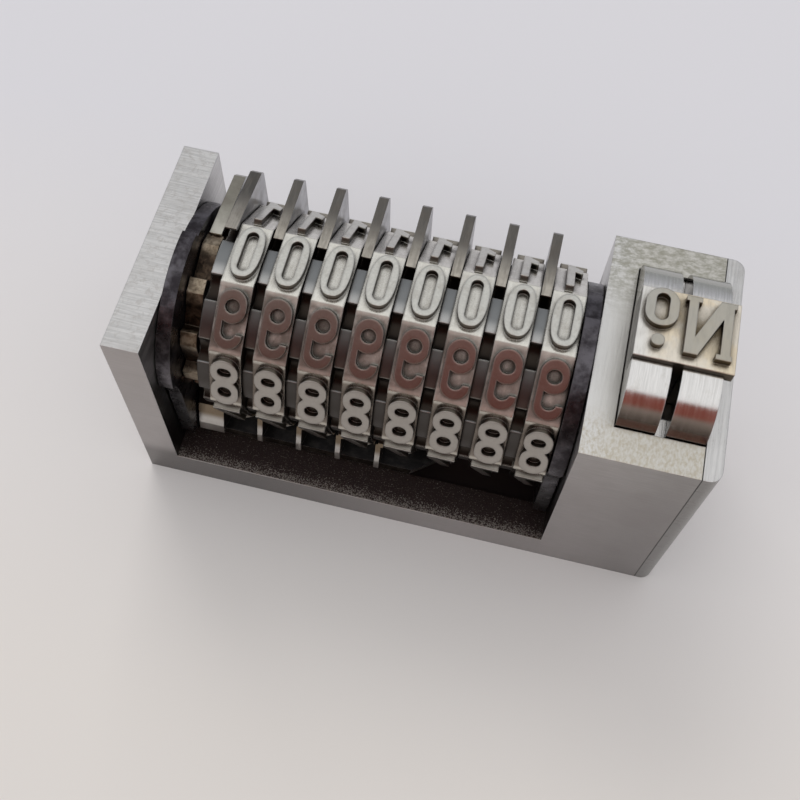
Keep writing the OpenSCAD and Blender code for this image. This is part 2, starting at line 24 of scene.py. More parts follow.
MM = 1000.0
SHAFT_Z = 14.45          # height of the wheel shaft
GAP_LEFT = -20.025       # inner face of the left wall
BLOCK_LEFT = 12.725      # inner face of the right block
COVER_LEFT = 21.575      # joint between case and end cover
FRONT = 9.7              # half the case's depth
RIB_TOP = 3.3            # top of the front and rear ribs
CASE_TOP = 21.65
SIGN_TOP = 25.35         # top of the number sign's plate
SIGN_MIDDLE = 18.3       # its middle, along x
LETTER_RELIEF = 0.55     # height of its letters
FACET_R = 8.28           # distance from the shaft to a wheel's facet
HALF_FACET = math.pi / 10
RELIEF = 0.5             # height of the digits on a facet
RING_TIP = 8.1           # reach of the lands of a ratchet ring
DRIVE_PAWL_RIGHT = -17.3
RATCHET_CREST = (6.4, 6.85)   # where the drive ratchet's hollows end and its lands begin

# places between which a tint grows, from none to full
PATINA_Y = (1.0, 7.0)        # backwards on the right block's top
MOTTLE_Y = (-5.0, -8.0)      # forwards on it
LOW_LEFT_SHADE_X = (5.0, -15.0)        # painted shade, to the left, low on the case's front
WELL_SHADE_Z = (17.5, 14.5)        # painted shade, down the walls' inner faces
ARM_SHADE_Z = (11.5, 7.5)    # down the swing arms
NINES_X = (8.0, -13.0)       # from right to left along the nines' tarnish and painted reflection
COMB_BLADE_Z = (6.7, 5.9)    # down the comb's fingers, bright below
PAWL_PALE_Y = (6.0, 2.2)     # forwards along the pawls


def grey(level, warm=0.0):
    """A linear grey; warm moves it towards brown."""
    return (level * (1 + warm), level, level * (1 - warm), 1.0)


def srgb(red, green, blue):
    """A linear colour from display values between 0 and 255."""
    def linear(v):
        v /= 255.0
        return v / 12.92 if v <= 0.04045 else ((v + 0.055) / 1.055) ** 2.4
    return (linear(red), linear(green), linear(blue), 1.0)


# ---------- node materials ----------

class Paint:
    """Builds one node material. Every method that makes something returns its output."""

    def __init__(self, name):
        self.material = bpy.data.materials.new(name)
        self.material.use_nodes = True
        self.tree = self.material.node_tree
        self.tree.nodes.clear()
        # a piece's object coordinates stay those of rest when its joint moves
        coord = self.add("ShaderNodeTexCoord")
        self.point = self.stretch(coord.outputs["Object"], (MM, MM, MM))
        self.x, self.y, self.z = self.split(self.point)
        self.nx, self.ny, self.nz = self.split(coord.outputs["Normal"])

    def add(self, kind, **properties):
        node = self.tree.nodes.new(kind)
        for key, value in properties.items():
            setattr(node, key, value)
        return node

    def put(self, socket, value):
        if isinstance(value, bpy.types.NodeSocket):
            self.tree.links.new(value, socket)
        else:
            socket.default_value = value

    def split(self, vector):
        node = self.add("ShaderNodeSeparateXYZ")
        self.put(node.inputs[0], vector)
        return node.outputs[0], node.outputs[1], node.outputs[2]

    def stretch(self, vector, factors):
        node = self.add("ShaderNodeVectorMath", operation="MULTIPLY")
        self.put(node.inputs[0], vector)
        self.put(node.inputs[1], factors)
        return node.outputs[0]

    def math(self, operation, a, b=0.0, c=0.0):
        node = self.add("ShaderNodeMath", operation=operation)
        self.put(node.inputs[0], a)
        self.put(node.inputs[1], b)
        self.put(node.inputs[2], c)
        return node.outputs[0]

    def times(self, *factors):
        out = factors[0]
        for factor in factors[1:]:
            out = self.math("MULTIPLY", out, factor)
        return out

    def rest(self, a):
        """One minus a."""
        return self.math("SUBTRACT", 1.0, a)

    def ramp(self, value, low, high, to_low=0.0, to_high=1.0):
        """A smooth step, to_low where the value is low and to_high where it is high."""
        node = self.add("ShaderNodeMapRange", interpolation_type="SMOOTHSTEP")
        for socket, v in zip(node.inputs, (value, low, high, to_low, to_high)):
            self.put(socket, v)
        return node.outputs[0]

    def within(self, value, low, high, soft=0.05):
        """One between low and high, zero outside them."""
        return self.times(self.ramp(value, low - soft, low), self.ramp(value, high + soft, high))

    def facing(self, normal_part, low=0.5, high=0.8):
        """One on the faces across that axis, whichever way they look."""
        return self.ramp(self.math("ABSOLUTE", normal_part), low, high)

    def mix(self, share, a, b):
        """A colour between a and b."""
        node = self.add("ShaderNodeMix", data_type="RGBA")
        self.put(node.inputs[0], share)
        self.put(node.inputs[6], a)
        self.put(node.inputs[7], b)
        return node.outputs[2]

    def blend(self, share, a, b):
        """A number between a and b."""
        node = self.add("ShaderNodeMix", data_type="FLOAT")
        self.put(node.inputs[0], share)
        self.put(node.inputs[2], a)
        self.put(node.inputs[3], b)
        return node.outputs[0]

    def noise(self, per_mm, detail=3.0, rough=0.55, factors=None, distortion=0.0):
        """Noise with that many cells per millimetre; factors stretch it along the axes."""
        node = self.add("ShaderNodeTexNoise")
        place = self.stretch(self.point, factors) if factors else self.point
        self.put(node.inputs["Vector"], place)
        self.put(node.inputs["Scale"], per_mm)
        self.put(node.inputs["Detail"], detail)
        self.put(node.inputs["Roughness"], rough)
        self.put(node.inputs["Distortion"], distortion)
        return node.outputs[0]

    def brushed(self, axis, per_mm=7.0):
        """Fine scratches that run along an axis."""
        factors = tuple(0.05 if i == axis else 1.0 for i in range(3))
        return self.noise(per_mm, detail=4.0, rough=0.65, factors=factors)

    def corners(self, reach, samples=6):
        """One in a corner or crevice, zero on open surfaces."""
        node = self.add("ShaderNodeAmbientOcclusion", samples=samples)
        self.put(node.inputs["Distance"], reach / MM)
        return self.rest(node.outputs["AO"])

    def rounded(self, radius, samples=4):
        """The normal as if the edges were rounded."""
        node = self.add("ShaderNodeBevel", samples=samples)
        self.put(node.inputs["Radius"], radius / MM)
        return node.outputs[0]

    def edges(self, rounded_normal, low=0.02, high=0.25):
        """One along edges, from how far the rounded normal leans from the flat one."""
        flat = self.add("ShaderNodeNewGeometry").outputs["Normal"]
        node = self.add("ShaderNodeVectorMath", operation="DOT_PRODUCT")
        self.put(node.inputs[0], rounded_normal)
        self.put(node.inputs[1], flat)
        return self.ramp(self.rest(node.outputs["Value"]), low, high)

    def bump(self, height, depth, normal=None):
        """Depth is in millimetres."""
        node = self.add("ShaderNodeBump")
        self.put(node.inputs["Height"], height)
        self.put(node.inputs["Distance"], depth / MM)
        self.put(node.inputs["Strength"], 1.0)
        if normal is not None:
            self.put(node.inputs["Normal"], normal)
        return node.outputs[0]

    def radius(self):
        """Distance from the wheel shaft."""
        up = self.math("SUBTRACT", self.z, SHAFT_Z)
        return self.math("SQRT", self.math("ADD", self.times(self.y, self.y), self.times(up, up)))

    def off_facet(self):
        """Angle around the wheel axis from the middle of the nearest of the ten facets."""
        up = self.math("SUBTRACT", self.z, SHAFT_Z)
        angle = self.math("ARCTAN2", up, self.times(self.y, -1.0))
        return self.math("SUBTRACT", HALF_FACET, self.math("PINGPONG", angle, HALF_FACET))

    def block_share(self):
        """One on the right block, zero to its left."""
        return self.ramp(self.x, BLOCK_LEFT - 0.1, BLOCK_LEFT)

    def seam(self):
        """One in the thin joint between the case and its end cover."""
        return self.within(self.x, COVER_LEFT - 0.03, COVER_LEFT + 0.03, 0.03)

    def metal(self, colour, roughness, normal, metallic=1.0, specular=0.5):
        shader = self.add("ShaderNodeBsdfPrincipled")
        self.put(shader.inputs["Base Color"], colour)
        self.put(shader.inputs["Roughness"], roughness)
        self.put(shader.inputs["Normal"], normal)
        self.put(shader.inputs["Metallic"], metallic)
        self.put(shader.inputs["Specular IOR Level"], specular)
        out = self.add("ShaderNodeOutputMaterial")
        self.put(out.inputs["Surface"], shader.outputs[0])
        return self.material


def block_top(p, colour, lines):
    """The right block's top: bright, warmer to the right, patina behind and spots in front."""
    top = p.times(p.facing(p.nz), p.block_share())
    warm = p.ramp(p.x, BLOCK_LEFT, BLOCK_LEFT + 3, 0.35, 1.0)
    colour = p.mix(p.times(top, 0.75), colour, p.mix(lines, grey(0.72), grey(0.84)))
    colour = p.mix(p.times(top, warm, 0.6), colour, (0.55, 0.52, 0.45, 1))
    blots = p.ramp(p.noise(2.4, 6.0, 0.75, factors=(0.5, 1.0, 1.0)), 0.36, 0.62)
    patina = p.times(top, p.ramp(p.y, *PATINA_Y), blots)
    colour = p.mix(p.times(patina, 0.75), colour, (0.28, 0.27, 0.21, 1))
    spots = p.ramp(p.noise(5.0, 6.0, 0.75, factors=(1.0, 0.5, 1.0)), 0.38, 0.66)
    mottle = p.times(top, p.ramp(p.y, *MOTTLE_Y), spots)
    return p.mix(p.times(mottle, 0.65), colour, (0.42, 0.36, 0.25, 1))


def case_front(p, colour):
    """The front: painted shade makes it darker than the tops, with more painted shade at the lower
    left and towards the end cover.
    """
    front = p.facing(p.ny)
    # painted shade on all front faces
    share = p.blend(p.block_share(), 0.68, p.ramp(p.z, 14.0, CASE_TOP, 0.65, 0.45))
    colour = p.mix(p.times(front, share), colour, (0.295, 0.266, 0.264, 1))
    # painted shade, low at the left of the front
    low_left_shade = p.times(front, p.ramp(p.x, *LOW_LEFT_SHADE_X), p.ramp(p.z, RIB_TOP + 2.0, RIB_TOP))
    colour = p.mix(p.times(low_left_shade, 0.6), colour, grey(0.09, 0.06))
    shade = p.times(front, p.ramp(p.x, BLOCK_LEFT + 1, COVER_LEFT), 0.35)
    return p.mix(shade, colour, grey(0.14, 0.04))


def case_well(p, colour):
    """Painted shade, almost black, on the lower part of the walls' inner faces."""
    between = p.within(p.x, GAP_LEFT - 0.05, BLOCK_LEFT + 0.05)
    # painted shade, deeper downwards between the walls
    well_shade = p.times(between, p.facing(p.nx), p.ramp(p.z, *WELL_SHADE_Z))
    return p.mix(p.times(well_shade, 0.95), colour, grey(0.014, 0.1))


def case_oxide(p):
    """Black oxide on the base, sandblasted on top of the ribs: its share, colour and grain."""
    depth = p.math("ABSOLUTE", p.y)
    share = p.times(p.within(p.x, GAP_LEFT, BLOCK_LEFT),
                    p.ramp(p.z, RIB_TOP + 0.08, RIB_TOP + 0.02),
                    p.ramp(depth, FRONT - 0.03, FRONT - 0.09))
    ribs = p.ramp(p.z, RIB_TOP - 0.15, RIB_TOP - 0.05)
    grain = p.noise(9.0, 2.0, 0.5)
    near_edge = p.ramp(depth, FRONT - 1.6, FRONT - 0.1)
    spark = p.ramp(p.math("ADD", grain, p.times(near_edge, 0.2)), 0.58, 0.8)
    oxide = p.mix(p.times(spark, ribs), (0.062, 0.046, 0.044, 1), (0.36, 0.33, 0.3, 1))
    return share, oxide, p.times(grain, ribs, 5.0)


def case_steel():
    p = Paint("case_satin_steel")
    soft = p.rounded(0.09)
    edge = p.edges(soft)
    top = p.facing(p.nz)
    crosswise = p.math("MAXIMUM", p.times(top, p.block_share()), p.facing(p.nx))
    lines = p.blend(crosswise, p.brushed(0), p.brushed(1, 6.0))
    cloud = p.ramp(p.noise(0.35, 4.0, 0.6), 0.42, 0.68)
    scuff = p.ramp(p.noise(1.9, 6.0, 0.75, distortion=0.6), 0.5, 0.62)
    colour = p.mix(p.ramp(lines, 0.3, 0.7), grey(0.49, 0.01), grey(0.68, 0.015))
    colour = p.mix(p.times(cloud, 0.3), colour, grey(0.4, 0.05))
    colour = p.mix(p.times(scuff, top, 0.4), colour, grey(0.36, 0.07))
    colour = block_top(p, colour, lines)
    colour = case_front(p, colour)
    colour = case_well(p, colour)
    oxide_share, oxide, oxide_grain = case_oxide(p)
    colour = p.mix(oxide_share, colour, oxide)
    # painted shade in corners, partly dirt
    dirt_and_shade = p.ramp(p.corners(1.2), 0.35, 0.95)
    colour = p.mix(p.times(dirt_and_shade, 0.6), colour, grey(0.07, 0.12))
    # painted highlight along the edges
    colour = p.mix(p.times(edge, p.rest(oxide_share), 0.5), colour, grey(0.72))
    colour = p.mix(p.times(p.seam(), 0.9), colour, grey(0.03, 0.1))
    rough = p.blend(oxide_share, p.ramp(lines, 0.25, 0.75, 0.28, 0.42), 0.6)
    pits = p.blend(oxide_share, lines, oxide_grain)
    return p.metal(colour, rough, p.bump(pits, 0.012, soft))


def cover_steel():
    p = Paint("cover_brushed_steel")
    soft = p.rounded(0.1)
    edge = p.edges(soft)
    top = p.facing(p.nz)
    crosswise = p.math("MAXIMUM", top, p.facing(p.nx))
    lines = p.blend(crosswise, p.brushed(0, 6.0), p.brushed(1, 5.0))
    blotch = p.ramp(p.noise(0.5, 4.0, 0.6), 0.5, 0.75)
    front = p.times(p.ramp(p.ny, -0.02, -0.3), p.rest(top))
    dirt_and_shade = p.ramp(p.corners(0.8), 0.35, 0.95)
    colour = p.mix(p.ramp(lines, 0.3, 0.7), grey(0.5, 0.01), grey(0.7, 0.015))
    colour = p.mix(p.times(blotch, 0.3), colour, grey(0.36, 0.05))
    # painted shade on the front faces
    colour = p.mix(p.times(front, 0.8), colour, grey(0.2, 0.03))
    # painted shade in corners, partly dirt
    colour = p.mix(p.times(dirt_and_shade, 0.6), colour, grey(0.07, 0.12))
    # painted highlight along the edges
    colour = p.mix(p.times(edge, 0.5), colour, grey(0.8))
    colour = p.mix(p.times(p.seam(), 0.9), colour, grey(0.03, 0.1))
    rough = p.ramp(lines, 0.25, 0.75, 0.24, 0.42)
    scratches = p.times(lines, p.blend(top, 0.4, 1.0))
    return p.metal(colour, rough, p.bump(scratches, 0.016, soft))


def screw_steel():
    p = Paint("screw_bright_steel")
    soft = p.rounded(0.05)
    turned = p.noise(9.0, 3.0, 0.6)
    colour = p.mix(turned, grey(0.4, 0.03), grey(0.6, 0.02))
    # painted shade in corners
    colour = p.mix(p.ramp(p.corners(0.3), 0.3, 0.9), colour, grey(0.05, 0.15))
    return p.metal(colour, p.ramp(turned, 0.3, 0.7, 0.22, 0.4), p.bump(turned, 0.008, soft))


def shaft_steel():
    p = Paint("shaft_ground_steel")
    soft = p.rounded(0.05)
    lines = p.brushed(0, 5.0)
    stain = p.ramp(p.noise(0.8, 4.0, 0.6), 0.45, 0.7)
    colour = p.mix(lines, grey(0.42, 0.03), grey(0.62, 0.02))
    colour = p.mix(p.times(stain, 0.5), colour, grey(0.22, 0.12))
    return p.metal(colour, p.ramp(lines, 0.3, 0.7, 0.18, 0.34), p.bump(lines, 0.006, soft))


def black_steel():
    p = Paint("black_oxide_steel")
    soft = p.rounded(0.14)
    edge = p.edges(soft, 0.03, 0.3)
    cloud = p.ramp(p.noise(0.5, 4.0, 0.62), 0.4, 0.66)
    speck = p.ramp(p.noise(3.0, 4.0, 0.6), 0.55, 0.75)
    # violet-grey clouds and specks: partly the oxide's own mottle, partly painted glints
    colour = p.mix(cloud, (0.03, 0.026, 0.03, 1), (0.12, 0.112, 0.125, 1))
    colour = p.mix(p.times(speck, 0.3), colour, grey(0.11, 0.02))
    colour = p.mix(p.times(p.ramp(p.z, *ARM_SHADE_Z), 0.7), colour, grey(0.012, 0.1))
    # painted highlight along the edges
    colour = p.mix(p.times(edge, 0.35), colour, grey(0.2, 0.03))
    rough = p.ramp(p.noise(1.2, 4.0, 0.6), 0.3, 0.7, 0.24, 0.4)
    return p.metal(colour, rough, p.bump(p.noise(0.7, 4.0, 0.5), 0.09, soft), metallic=0.9)


def ratchet_steel():
    p = Paint("worn_brown_ratchet_steel")
    soft = p.rounded(0.1)
    edge = p.edges(soft, 0.03, 0.3)
    crest = p.ramp(p.radius(), *RATCHET_CREST)
    mottle = p.noise(1.6, 5.0, 0.65, distortion=0.5)
    pits = p.ramp(p.noise(3.4, 4.0, 0.7), 0.6, 0.7)
    # the hollows darker than the lands: partly brown steel, partly painted shade
    hollow = p.mix(p.ramp(mottle, 0.35, 0.7), (0.03, 0.022, 0.017, 1), (0.13, 0.092, 0.065, 1))
    land = p.mix(p.ramp(mottle, 0.35, 0.65), (0.19, 0.148, 0.105, 1), (0.46, 0.385, 0.29, 1))
    colour = p.mix(crest, hollow, land)
    colour = p.mix(p.times(pits, 0.7), colour, (0.03, 0.022, 0.016, 1))
    # painted shade in corners
    colour = p.mix(p.times(p.ramp(p.corners(0.8), 0.35, 0.9), 0.8), colour, (0.02, 0.015, 0.012, 1))
    # painted highlight along the edges
    colour = p.mix(p.times(edge, 0.55), colour, (0.42, 0.37, 0.29, 1))
    rough = p.ramp(mottle, 0.3, 0.7, 0.28, 0.48)
    worn = p.math("SUBTRACT", mottle, p.times(pits, 0.6))
    return p.metal(colour, rough, p.bump(worn, 0.05, soft))


WHEEL_SHADE = (0.05, 0.043, 0.038, 1)   # painted shade on a wheel's sides and the low part of its ring


class WheelPaint(Paint):
    """Adds the shares, from zero to one, that tell the regions of a digit wheel apart."""

    def __init__(self, name):
        super().__init__(name)
        reach, off = self.radius(), self.off_facet()
        height = self.math("SUBTRACT", self.times(reach, self.math("COSINE", off)), FACET_R)
        self.digit = self.ramp(height, 0.6 * RELIEF, 0.9 * RELIEF)
        self.wall = self.within(height, 0.08 * RELIEF, 0.9 * RELIEF, 0.02)
        self.ring = self.ramp(height, -0.08, -0.14)
        self.land = self.ramp(reach, RING_TIP - 0.14, RING_TIP - 0.04)
        self.land_end = self.ramp(off, 0.3 * HALF_FACET, 0.8 * HALF_FACET)
        ridge = self.ramp(off, 0.84 * HALF_FACET, 0.95 * HALF_FACET)
        self.ridge = self.times(ridge, self.rest(self.ring))
        # the facet that faces up and forward, the one below it, and those underneath
        forward = self.times(self.ramp(self.ny, -0.4, -0.5), self.ramp(self.ny, -0.74, -0.68))
        self.nine = self.times(forward, self.ramp(self.nz, 0.65, 0.75), self.rest(self.wall))
        self.low = self.times(self.ramp(self.ny, -0.5, -0.8), self.ramp(self.nz, 0.5, 0.35))
        self.under = self.times(self.ramp(self.nz, 0.15, -0.1), self.rest(self.ring))
        self.fine = self.noise(5.0, 3.0, 0.6)
        self.lines = self.noise(4.0, 4.0, 0.6, factors=(1.0, 0.15, 0.15))


def facet_colour(p):
    """Facets and digits: pale on top; on the nines tarnish and a painted reflection of the warm
    card, brown on the digits; darker below with painted shade, partly grime.
    """
    field = p.mix(p.ramp(p.lines, 0.3, 0.7), (0.6, 0.585, 0.54, 1), (0.72, 0.705, 0.655, 1))
    face = p.mix(p.ramp(p.fine, 0.3, 0.7), (0.52, 0.515, 0.48, 1), (0.61, 0.6, 0.56, 1))
    colour = p.mix(p.digit, field, face)
    stain = p.ramp(p.noise(0.9, 5.0, 0.65), 0.45, 0.7)
    colour = p.mix(p.times(stain, 0.25), colour, (0.24, 0.2, 0.155, 1))
    cloud = p.ramp(p.noise(0.7, 4.0, 0.6), 0.3, 0.6)
    # on the nines' field: tarnish and painted reflection of the warm card
    tarnish_and_reflection = p.times(p.nine, p.rest(p.digit), p.ramp(p.x, *NINES_X, 0.6, 0.85), cloud)
    colour = p.mix(p.times(tarnish_and_reflection, 0.9), colour, (0.15, 0.132, 0.112, 1))
    # painted reflection of the warm card on the nines' digits, redder to the right
    nine_reflection = p.mix(p.ramp(p.x, *NINES_X), (0.165, 0.06, 0.044, 1), (0.145, 0.095, 0.078, 1))
    colour = p.mix(p.times(p.nine, p.digit, 0.82), colour, nine_reflection)
    # painted shade on the facets below, partly grime
    colour = p.mix(p.times(p.low, p.rest(p.digit), 0.85), colour, (0.145, 0.115, 0.095, 1))
    colour = p.mix(p.times(p.low, p.digit, 0.75), colour, (0.33, 0.305, 0.285, 1))
    # painted shade on the faces underneath
    return p.mix(p.times(p.under, 0.7), colour, (0.09, 0.075, 0.062, 1))


def ring_colour(p):
    """Ratchet rings: dark notches and blue-grey lands, lighter towards the lands' ends; painted
    shade in the notches, in front and below, and a painted highlight at the lands' ends.
    """
    lands = p.mix(p.land_end, (0.2, 0.208, 0.212, 1), (0.55, 0.55, 0.54, 1))
    rings = p.mix(p.land, (0.03, 0.024, 0.02, 1), lands)
    front = p.times(p.ramp(p.ny, -0.15, -0.35), p.land)
    rings = p.mix(p.times(front, 0.75), rings, (0.08, 0.07, 0.065, 1))
    return p.mix(p.times(p.ramp(p.nz, 0.5, 0.2), 0.75), rings, WHEEL_SHADE)


def wheel_steel():
    p = WheelPaint("worn_wheel_steel")
    soft = p.rounded(0.2)
    edge = p.edges(soft, 0.02, 0.2)
    crevice = p.ramp(p.corners(0.7), 0.12, 0.6)
    colour = p.mix(p.ring, facet_colour(p), ring_colour(p))
    # painted shade on the wheels' sides
    colour = p.mix(p.times(p.facing(p.nx), 0.8), colour, WHEEL_SHADE)
    # painted shade on the digits' side walls
    colour = p.mix(p.times(p.wall, 0.8), colour, (0.17, 0.148, 0.125, 1))
    # painted shade in crevices, partly dirt
    crevice_dirt_and_shade = p.times(crevice, p.rest(p.times(p.digit, 0.8)))
    colour = p.mix(crevice_dirt_and_shade, colour, (0.035, 0.027, 0.022, 1))
    # painted highlight along the edges and the ridges between facets
    edge_highlight = p.times(edge, p.rest(p.wall), p.rest(p.low), p.rest(p.times(p.nine, 0.6)))
    ridge_highlight = p.times(p.ridge, p.rest(p.digit), 0.7)
    painted_highlight = p.math("MAXIMUM", edge_highlight, ridge_highlight)
    colour = p.mix(p.times(painted_highlight, 0.8), colour, (0.68, 0.66, 0.6, 1))
    satin = p.math("ADD", p.ramp(p.fine, 0.3, 0.7, 0.15, 0.24), p.times(crevice, 0.2))
    satin = p.math("ADD", satin, p.times(p.nine, 0.14))
    rough = p.blend(p.math("MAXIMUM", p.digit, p.wall), satin, 0.3)
    rough = p.blend(p.ring, rough, 0.38)
    grain = p.math("ADD", p.times(p.lines, 0.6), p.noise(1.4, 4.0, 0.55))
    return p.metal(colour, rough, p.bump(grain, 0.007, soft))


def comb_steel():
    p = Paint("comb_sheet_steel")
    soft = p.rounded(0.06)
    edge = p.edges(soft, 0.03, 0.3)
    front = p.times(p.ramp(p.ny, -0.25, -0.45), p.ramp(p.nz, 0.52, 0.44))
    low = p.ramp(p.z, *COMB_BLADE_Z)
    stain = p.ramp(p.noise(1.2, 4.0, 0.6), 0.4, 0.7)
    lines = p.brushed(2, 6.0)
    # the sheet near-black: partly oxide, partly painted shade
    sheet = p.mix(stain, (0.012, 0.01, 0.009, 1), (0.035, 0.03, 0.026, 1))
    blade = p.mix(low, (0.24, 0.19, 0.135, 1), (0.62, 0.6, 0.57, 1))
    # painted light: the fingers' front faces lighter than the sheet
    colour = p.mix(front, sheet, blade)
    # painted shade on the side faces
    colour = p.mix(p.times(p.facing(p.nx), 0.6), colour, (0.12, 0.1, 0.085, 1))
    # painted highlight along the edges
    colour = p.mix(p.times(edge, 0.35), colour, grey(0.5, 0.03))
    return p.metal(colour, p.ramp(lines, 0.3, 0.7, 0.28, 0.44), p.bump(lines, 0.012, soft))


def pawl_steel():
    p = Paint("pawl_steel")
    soft = p.rounded(0.07)
    edge = p.edges(soft, 0.03, 0.3)
    side = p.facing(p.nx)
    front = p.ramp(p.y, *PAWL_PALE_Y)
    across = p.noise(5.0, 3.0, 0.6, factors=(1.0, 0.12, 0.12))
    stain = p.ramp(p.noise(0.9, 4.0, 0.6), 0.4, 0.72)
    strip = p.mix(front, (0.12, 0.113, 0.104, 1), (0.5, 0.465, 0.405, 1))
    strip = p.mix(p.times(p.ramp(across, 0.4, 0.7), 0.5), strip, (0.2, 0.185, 0.165, 1))
    strip = p.mix(p.ramp(p.x, DRIVE_PAWL_RIGHT + 0.1, DRIVE_PAWL_RIGHT), strip,
                  p.mix(front, (0.28, 0.265, 0.225, 1), (0.6, 0.58, 0.51, 1)))
    # painted light: side faces lighter than the top strips
    colour = p.mix(side, strip, (0.46, 0.46, 0.47, 1))
    colour = p.mix(p.times(stain, 0.35), colour, (0.14, 0.118, 0.1, 1))
    # painted highlight along the edges
    colour = p.mix(p.times(edge, 0.3), colour, grey(0.5, 0.03))
    # painted shade in corners
    colour = p.mix(p.ramp(p.corners(0.8), 0.4, 0.95), colour, grey(0.04, 0.15))
    return p.metal(colour, p.ramp(across, 0.3, 0.7, 0.28, 0.42), p.bump(across, 0.012, soft))


def plunger_steel():
    p = Paint("polished_plunger_steel")
    soft = p.rounded(0.1)
    edge = p.edges(soft)
    lines = p.noise(6.0, 4.0, 0.7, factors=(1.0, 0.04, 0.04))
    stain = p.ramp(p.noise(1.0, 4.0, 0.6), 0.5, 0.75)
    colour = p.mix(p.ramp(lines, 0.35, 0.65), grey(0.61, 0.02), grey(0.73, 0.015))
    colour = p.mix(p.times(stain, 0.25), colour, (0.36, 0.32, 0.24, 1))
    # painted shade in corners
    colour = p.mix(p.ramp(p.corners(0.6), 0.4, 0.95), colour, grey(0.05, 0.15))
    # darker low down, partly oil and partly painted shade; painted shade, greenish, behind; painted
    # shade on the sides
    oil_and_shade = p.times(p.ramp(p.z, CASE_TOP + 2.1, CASE_TOP + 0.5), p.ramp(p.nz, 0.95, 0.8))
    colour = p.mix(p.times(oil_and_shade, 0.7), colour, (0.2, 0.165, 0.13, 1))
    rear = p.ramp(p.ny, 0.1, 0.5)
    colour = p.mix(p.times(rear, 0.8), colour, (0.38, 0.385, 0.34, 1))
    side_shade = p.times(p.facing(p.nx), p.ramp(p.z, CASE_TOP + 3.0, CASE_TOP + 1.0, 0.55, 0.85))
    colour = p.mix(side_shade, colour, (0.035, 0.028, 0.022, 1))
    # painted highlight along the edges
    colour = p.mix(p.times(edge, p.rest(oil_and_shade), 0.4), colour, grey(0.82))
    rough = p.ramp(lines, 0.35, 0.65, 0.13, 0.24)
    scratches = p.times(lines, p.rest(p.times(rear, 0.8)))
    return p.metal(colour, rough, p.bump(scratches, 0.009, soft))


def sign_steel():
    p = Paint("satin_nickel_sign")
    soft = p.rounded(0.12)
    edge = p.edges(soft, 0.02, 0.25)
    cloud = p.ramp(p.noise(0.35, 3.0, 0.55), 0.38, 0.62)
    fine = p.noise(5.0, 4.0, 0.6, factors=(1.0, 0.2, 1.0))
    letter = p.ramp(p.z, SIGN_TOP + 0.6 * LETTER_RELIEF, SIGN_TOP + 0.85 * LETTER_RELIEF)
    wall = p.within(p.z, SIGN_TOP + 0.03, SIGN_TOP + 0.85 * LETTER_RELIEF, 0.02)
    rim = p.ramp(p.z, SIGN_TOP - 0.06, SIGN_TOP - 0.14)
    yellow = p.times(p.ramp(p.x, SIGN_MIDDLE - 3.0, SIGN_MIDDLE - 1.0),
                     p.ramp(cloud, 0.0, 1.0, 0.5, 1.0))
    colour = p.mix(yellow, (0.82, 0.8, 0.76, 1), (0.82, 0.71, 0.54, 1))
    colour = p.mix(p.times(p.ramp(fine, 0.45, 0.75), 0.3), colour, (0.42, 0.4, 0.35, 1))
    colour = p.mix(p.times(letter, 0.8), colour, (0.38, 0.365, 0.32, 1))
    # painted shade around the letters, partly dirt
    dirt_and_shade = p.ramp(p.corners(0.9), 0.14, 0.5)
    colour = p.mix(p.times(dirt_and_shade, p.rest(letter), 0.95), colour, (0.075, 0.055, 0.03, 1))
    # painted shade on the letters' side walls
    colour = p.mix(p.times(wall, 0.9), colour, (0.055, 0.04, 0.022, 1))
    # painted shade on the plate's front rim
    colour = p.mix(p.times(rim, 0.9), colour, (0.045, 0.035, 0.025, 1))
    # painted highlight along the edges
    colour = p.mix(p.times(edge, p.rest(wall), 0.25), colour, grey(0.62, 0.03))
    return p.metal(colour, p.ramp(fine, 0.3, 0.7, 0.28, 0.42), p.bump(fine, 0.008, soft))


def spring_steel():
    p = Paint("spring_wire")
    fine = p.noise(6.0, 3.0, 0.6)
    colour = p.mix(fine, grey(0.3, 0.05), grey(0.5, 0.03))
    return p.metal(colour, p.ramp(fine, 0.3, 0.7, 0.25, 0.4), p.bump(fine, 0.006))


MATERIALS = {
    "case": case_steel, "end_cover": cover_steel, "cover_screws": screw_steel,
    "wheel_shaft": shaft_steel, "pawl_rod": shaft_steel, "drive_stud": shaft_steel,
    "swing_arm": black_steel, "swing_bar": black_steel, "spacer_disc": black_steel,
    "feed_comb": comb_steel, "drive_ratchet": ratchet_steel, "digit_wheel": wheel_steel,
    "retaining_pawl": pawl_steel, "plunger_spring": spring_steel, "plunger": plunger_steel,
    "number_sign": sign_steel,
}


def paint_nodes():
    made = {}
    for name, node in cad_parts.items():
        prefix = max((k for k in MATERIALS if name.startswith(k)), key=len)
        maker = MATERIALS[prefix]
        if maker not in made:
            made[maker] = maker()
        node.data.materials.clear()
        node.data.materials.append(made[maker])


# ---------- stage, light and camera ----------

# metres from here on
FLOOR_HALF = 1.6
FLOOR_COLOUR = srgb(219, 217, 221)
